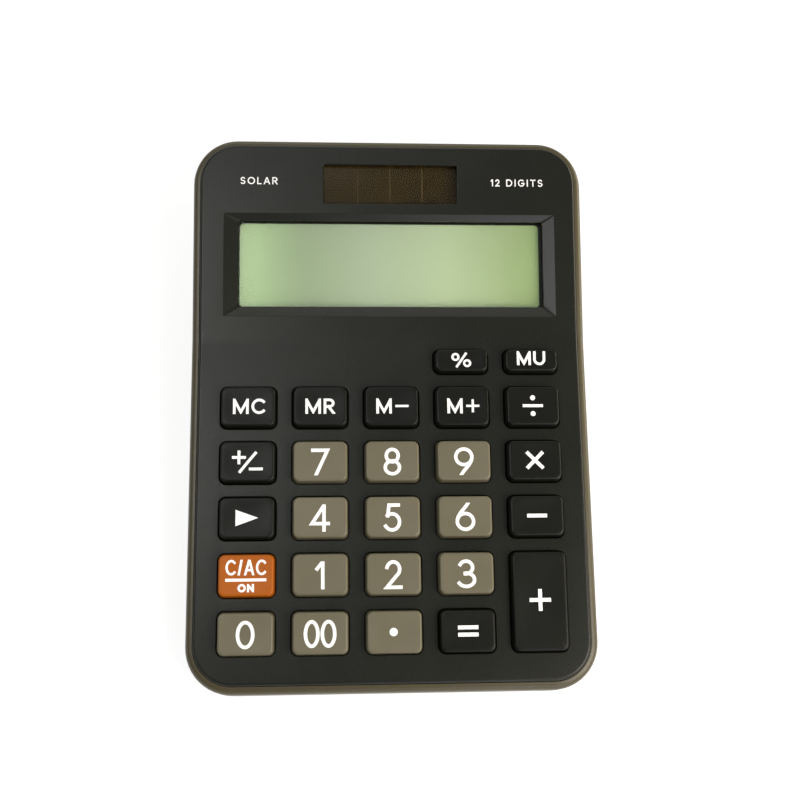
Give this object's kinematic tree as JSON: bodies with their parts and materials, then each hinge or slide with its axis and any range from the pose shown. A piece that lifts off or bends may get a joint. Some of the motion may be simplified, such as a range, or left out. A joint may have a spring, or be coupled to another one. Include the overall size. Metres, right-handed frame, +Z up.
{
  "type": "desk calculator",
  "caption": "Compact desk calculator with a dark top cover in a khaki lower case, sprung keys over a rubber dome sheet, a tilted display and a solar cell.",
  "frame": {"origin": "on the desk surface, under the middle of the case", "axes": "+X right, +Y from the keys towards the display, +Z up off the desk"},
  "size_m": [0.1064, 0.147, 0.0294],
  "materials": {
    "black_case": "fine moulded texture",
    "khaki_case": "satin moulded",
    "black_key": "satin moulded",
    "khaki_key": "satin moulded",
    "orange_key": "satin moulded",
    "silicone_rubber": "matte moulded",
    "rubber_foot": "matte",
    "clear_window": "clear polished acrylic",
    "liquid_crystal_glass": "display behind a polarising film",
    "solar_cell_glass": "amorphous silicon behind glass",
    "white_plastic": "moulded",
    "phenolic_board": "paper-phenolic laminate",
    "heat_seal_ribbon": "printed film",
    "chip_epoxy": "poured epoxy",
    "capacitor_sleeve": "shrink sleeve",
    "cell_steel": "nickel-plated steel",
    "spring_contact": "nickel-plated spring steel",
    "zinc_screw": "zinc plated",
    "red_wire": "PVC insulation",
    "black_wire": "PVC insulation",
    "label_film": "blank printed film"
  },
  "bodies": {
    "case": {"battery_contact_minus": "spring_contact", "battery_contact_plus": "spring_contact", "battery_holder": "white_plastic", "board_screw_1": "zinc_screw", "board_screw_2": "zinc_screw", "board_screw_3": "zinc_screw", "board_screw_4": "zinc_screw", "button_cell": "cell_steel", "case_screw_1": "zinc_screw", "case_screw_2": "zinc_screw", "case_screw_3": "zinc_screw", "case_screw_4": "zinc_screw", "circuit_board": "phenolic_board", "display_ribbon": "heat_seal_ribbon", "display_window": "clear_window", "filter_capacitor": "capacitor_sleeve", "lcd_holder": "white_plastic", "lcd_panel": "liquid_crystal_glass", "lower_case": "khaki_case", "processor_chip": "chip_epoxy", "rating_label": "label_film", "rubber_foot_1": "rubber_foot", "rubber_foot_2": "rubber_foot", "rubber_foot_3": "rubber_foot", "rubber_foot_4": "rubber_foot", "rubber_key_sheet": "silicone_rubber", "solar_cell": "solar_cell_glass", "solar_lead_black": "black_wire", "solar_lead_red": "red_wire", "solar_window": "clear_window", "upper_case": "black_case"},
    "key_0": {"key_0": "khaki_key"},
    "key_00": {"key_00": "khaki_key"},
    "key_1": {"key_1": "khaki_key"},
    "key_2": {"key_2": "khaki_key"},
    "key_3": {"key_3": "khaki_key"},
    "key_4": {"key_4": "khaki_key"},
    "key_5": {"key_5": "khaki_key"},
    "key_6": {"key_6": "khaki_key"},
    "key_7": {"key_7": "khaki_key"},
    "key_8": {"key_8": "khaki_key"},
    "key_9": {"key_9": "khaki_key"},
    "key_backspace": {"key_backspace": "black_key"},
    "key_clear_on": {"key_clear_on": "orange_key"},
    "key_decimal": {"key_decimal": "khaki_key"},
    "key_divide": {"key_divide": "black_key"},
    "key_equals": {"key_equals": "black_key"},
    "key_m_minus": {"key_m_minus": "black_key"},
    "key_m_plus": {"key_m_plus": "black_key"},
    "key_markup": {"key_markup": "black_key"},
    "key_mc": {"key_mc": "black_key"},
    "key_minus": {"key_minus": "black_key"},
    "key_mr": {"key_mr": "black_key"},
    "key_multiply": {"key_multiply": "black_key"},
    "key_percent": {"key_percent": "black_key"},
    "key_plus": {"key_plus": "black_key"},
    "key_sign": {"key_sign": "black_key"}
  },
  "joints": [
    {"name": "key_0_press", "type": "slide", "parent": "case", "child": "key_0", "axis": [0, 0.0819, -0.9966], "range_m": [0, 0.0012], "stiffness_N_per_m": 300, "springref_m": -0.0006, "deforming": ["rubber_key_sheet"]},
    {"name": "key_00_press", "type": "slide", "parent": "case", "child": "key_00", "axis": [0, 0.0819, -0.9966], "range_m": [0, 0.0012], "stiffness_N_per_m": 300, "springref_m": -0.0006},
    {"name": "key_1_press", "type": "slide", "parent": "case", "child": "key_1", "axis": [0, 0.0819, -0.9966], "range_m": [0, 0.0012], "stiffness_N_per_m": 300, "springref_m": -0.0006},
    {"name": "key_2_press", "type": "slide", "parent": "case", "child": "key_2", "axis": [0, 0.0819, -0.9966], "range_m": [0, 0.0012], "stiffness_N_per_m": 300, "springref_m": -0.0006},
    {"name": "key_3_press", "type": "slide", "parent": "case", "child": "key_3", "axis": [0, 0.0819, -0.9966], "range_m": [0, 0.0012], "stiffness_N_per_m": 300, "springref_m": -0.0006},
    {"name": "key_4_press", "type": "slide", "parent": "case", "child": "key_4", "axis": [0, 0.0819, -0.9966], "range_m": [0, 0.0012], "stiffness_N_per_m": 300, "springref_m": -0.0006},
    {"name": "key_5_press", "type": "slide", "parent": "case", "child": "key_5", "axis": [0, 0.0819, -0.9966], "range_m": [0, 0.0012], "stiffness_N_per_m": 300, "springref_m": -0.0006},
    {"name": "key_6_press", "type": "slide", "parent": "case", "child": "key_6", "axis": [0, 0.0819, -0.9966], "range_m": [0, 0.0012], "stiffness_N_per_m": 300, "springref_m": -0.0006},
    {"name": "key_7_press", "type": "slide", "parent": "case", "child": "key_7", "axis": [0, 0.0819, -0.9966], "range_m": [0, 0.0012], "stiffness_N_per_m": 300, "springref_m": -0.0006},
    {"name": "key_8_press", "type": "slide", "parent": "case", "child": "key_8", "axis": [0, 0.0819, -0.9966], "range_m": [0, 0.0012], "stiffness_N_per_m": 300, "springref_m": -0.0006},
    {"name": "key_9_press", "type": "slide", "parent": "case", "child": "key_9", "axis": [0, 0.0819, -0.9966], "range_m": [0, 0.0012], "stiffness_N_per_m": 300, "springref_m": -0.0006},
    {"name": "key_backspace_press", "type": "slide", "parent": "case", "child": "key_backspace", "axis": [0, 0.0819, -0.9966], "range_m": [0, 0.0012], "stiffness_N_per_m": 300, "springref_m": -0.0006},
    {"name": "key_clear_on_press", "type": "slide", "parent": "case", "child": "key_clear_on", "axis": [0, 0.0819, -0.9966], "range_m": [0, 0.0012], "stiffness_N_per_m": 300, "springref_m": -0.0006},
    {"name": "key_decimal_press", "type": "slide", "parent": "case", "child": "key_decimal", "axis": [0, 0.0819, -0.9966], "range_m": [0, 0.0012], "stiffness_N_per_m": 300, "springref_m": -0.0006},
    {"name": "key_divide_press", "type": "slide", "parent": "case", "child": "key_divide", "axis": [0, 0.0819, -0.9966], "range_m": [0, 0.0012], "stiffness_N_per_m": 300, "springref_m": -0.0006},
    {"name": "key_equals_press", "type": "slide", "parent": "case", "child": "key_equals", "axis": [0, 0.0819, -0.9966], "range_m": [0, 0.0012], "stiffness_N_per_m": 300, "springref_m": -0.0006},
    {"name": "key_m_minus_press", "type": "slide", "parent": "case", "child": "key_m_minus", "axis": [0, 0.0819, -0.9966], "range_m": [0, 0.0012], "stiffness_N_per_m": 300, "springref_m": -0.0006},
    {"name": "key_m_plus_press", "type": "slide", "parent": "case", "child": "key_m_plus", "axis": [0, 0.0819, -0.9966], "range_m": [0, 0.0012], "stiffness_N_per_m": 300, "springref_m": -0.0006},
    {"name": "key_markup_press", "type": "slide", "parent": "case", "child": "key_markup", "axis": [0, 0.0819, -0.9966], "range_m": [0, 0.0012], "stiffness_N_per_m": 300, "springref_m": -0.0006},
    {"name": "key_mc_press", "type": "slide", "parent": "case", "child": "key_mc", "axis": [0, 0.0819, -0.9966], "range_m": [0, 0.0012], "stiffness_N_per_m": 300, "springref_m": -0.0006},
    {"name": "key_minus_press", "type": "slide", "parent": "case", "child": "key_minus", "axis": [0, 0.0819, -0.9966], "range_m": [0, 0.0012], "stiffness_N_per_m": 300, "springref_m": -0.0006},
    {"name": "key_mr_press", "type": "slide", "parent": "case", "child": "key_mr", "axis": [0, 0.0819, -0.9966], "range_m": [0, 0.0012], "stiffness_N_per_m": 300, "springref_m": -0.0006},
    {"name": "key_multiply_press", "type": "slide", "parent": "case", "child": "key_multiply", "axis": [0, 0.0819, -0.9966], "range_m": [0, 0.0012], "stiffness_N_per_m": 300, "springref_m": -0.0006},
    {"name": "key_percent_press", "type": "slide", "parent": "case", "child": "key_percent", "axis": [0, 0.0819, -0.9966], "range_m": [0, 0.0012], "stiffness_N_per_m": 300, "springref_m": -0.0006},
    {"name": "key_plus_press", "type": "slide", "parent": "case", "child": "key_plus", "axis": [0, 0.0819, -0.9966], "range_m": [0, 0.0012], "stiffness_N_per_m": 300, "springref_m": -0.0006},
    {"name": "key_sign_press", "type": "slide", "parent": "case", "child": "key_sign", "axis": [0, 0.0819, -0.9966], "range_m": [0, 0.0012], "stiffness_N_per_m": 300, "springref_m": -0.0006}
  ]
}
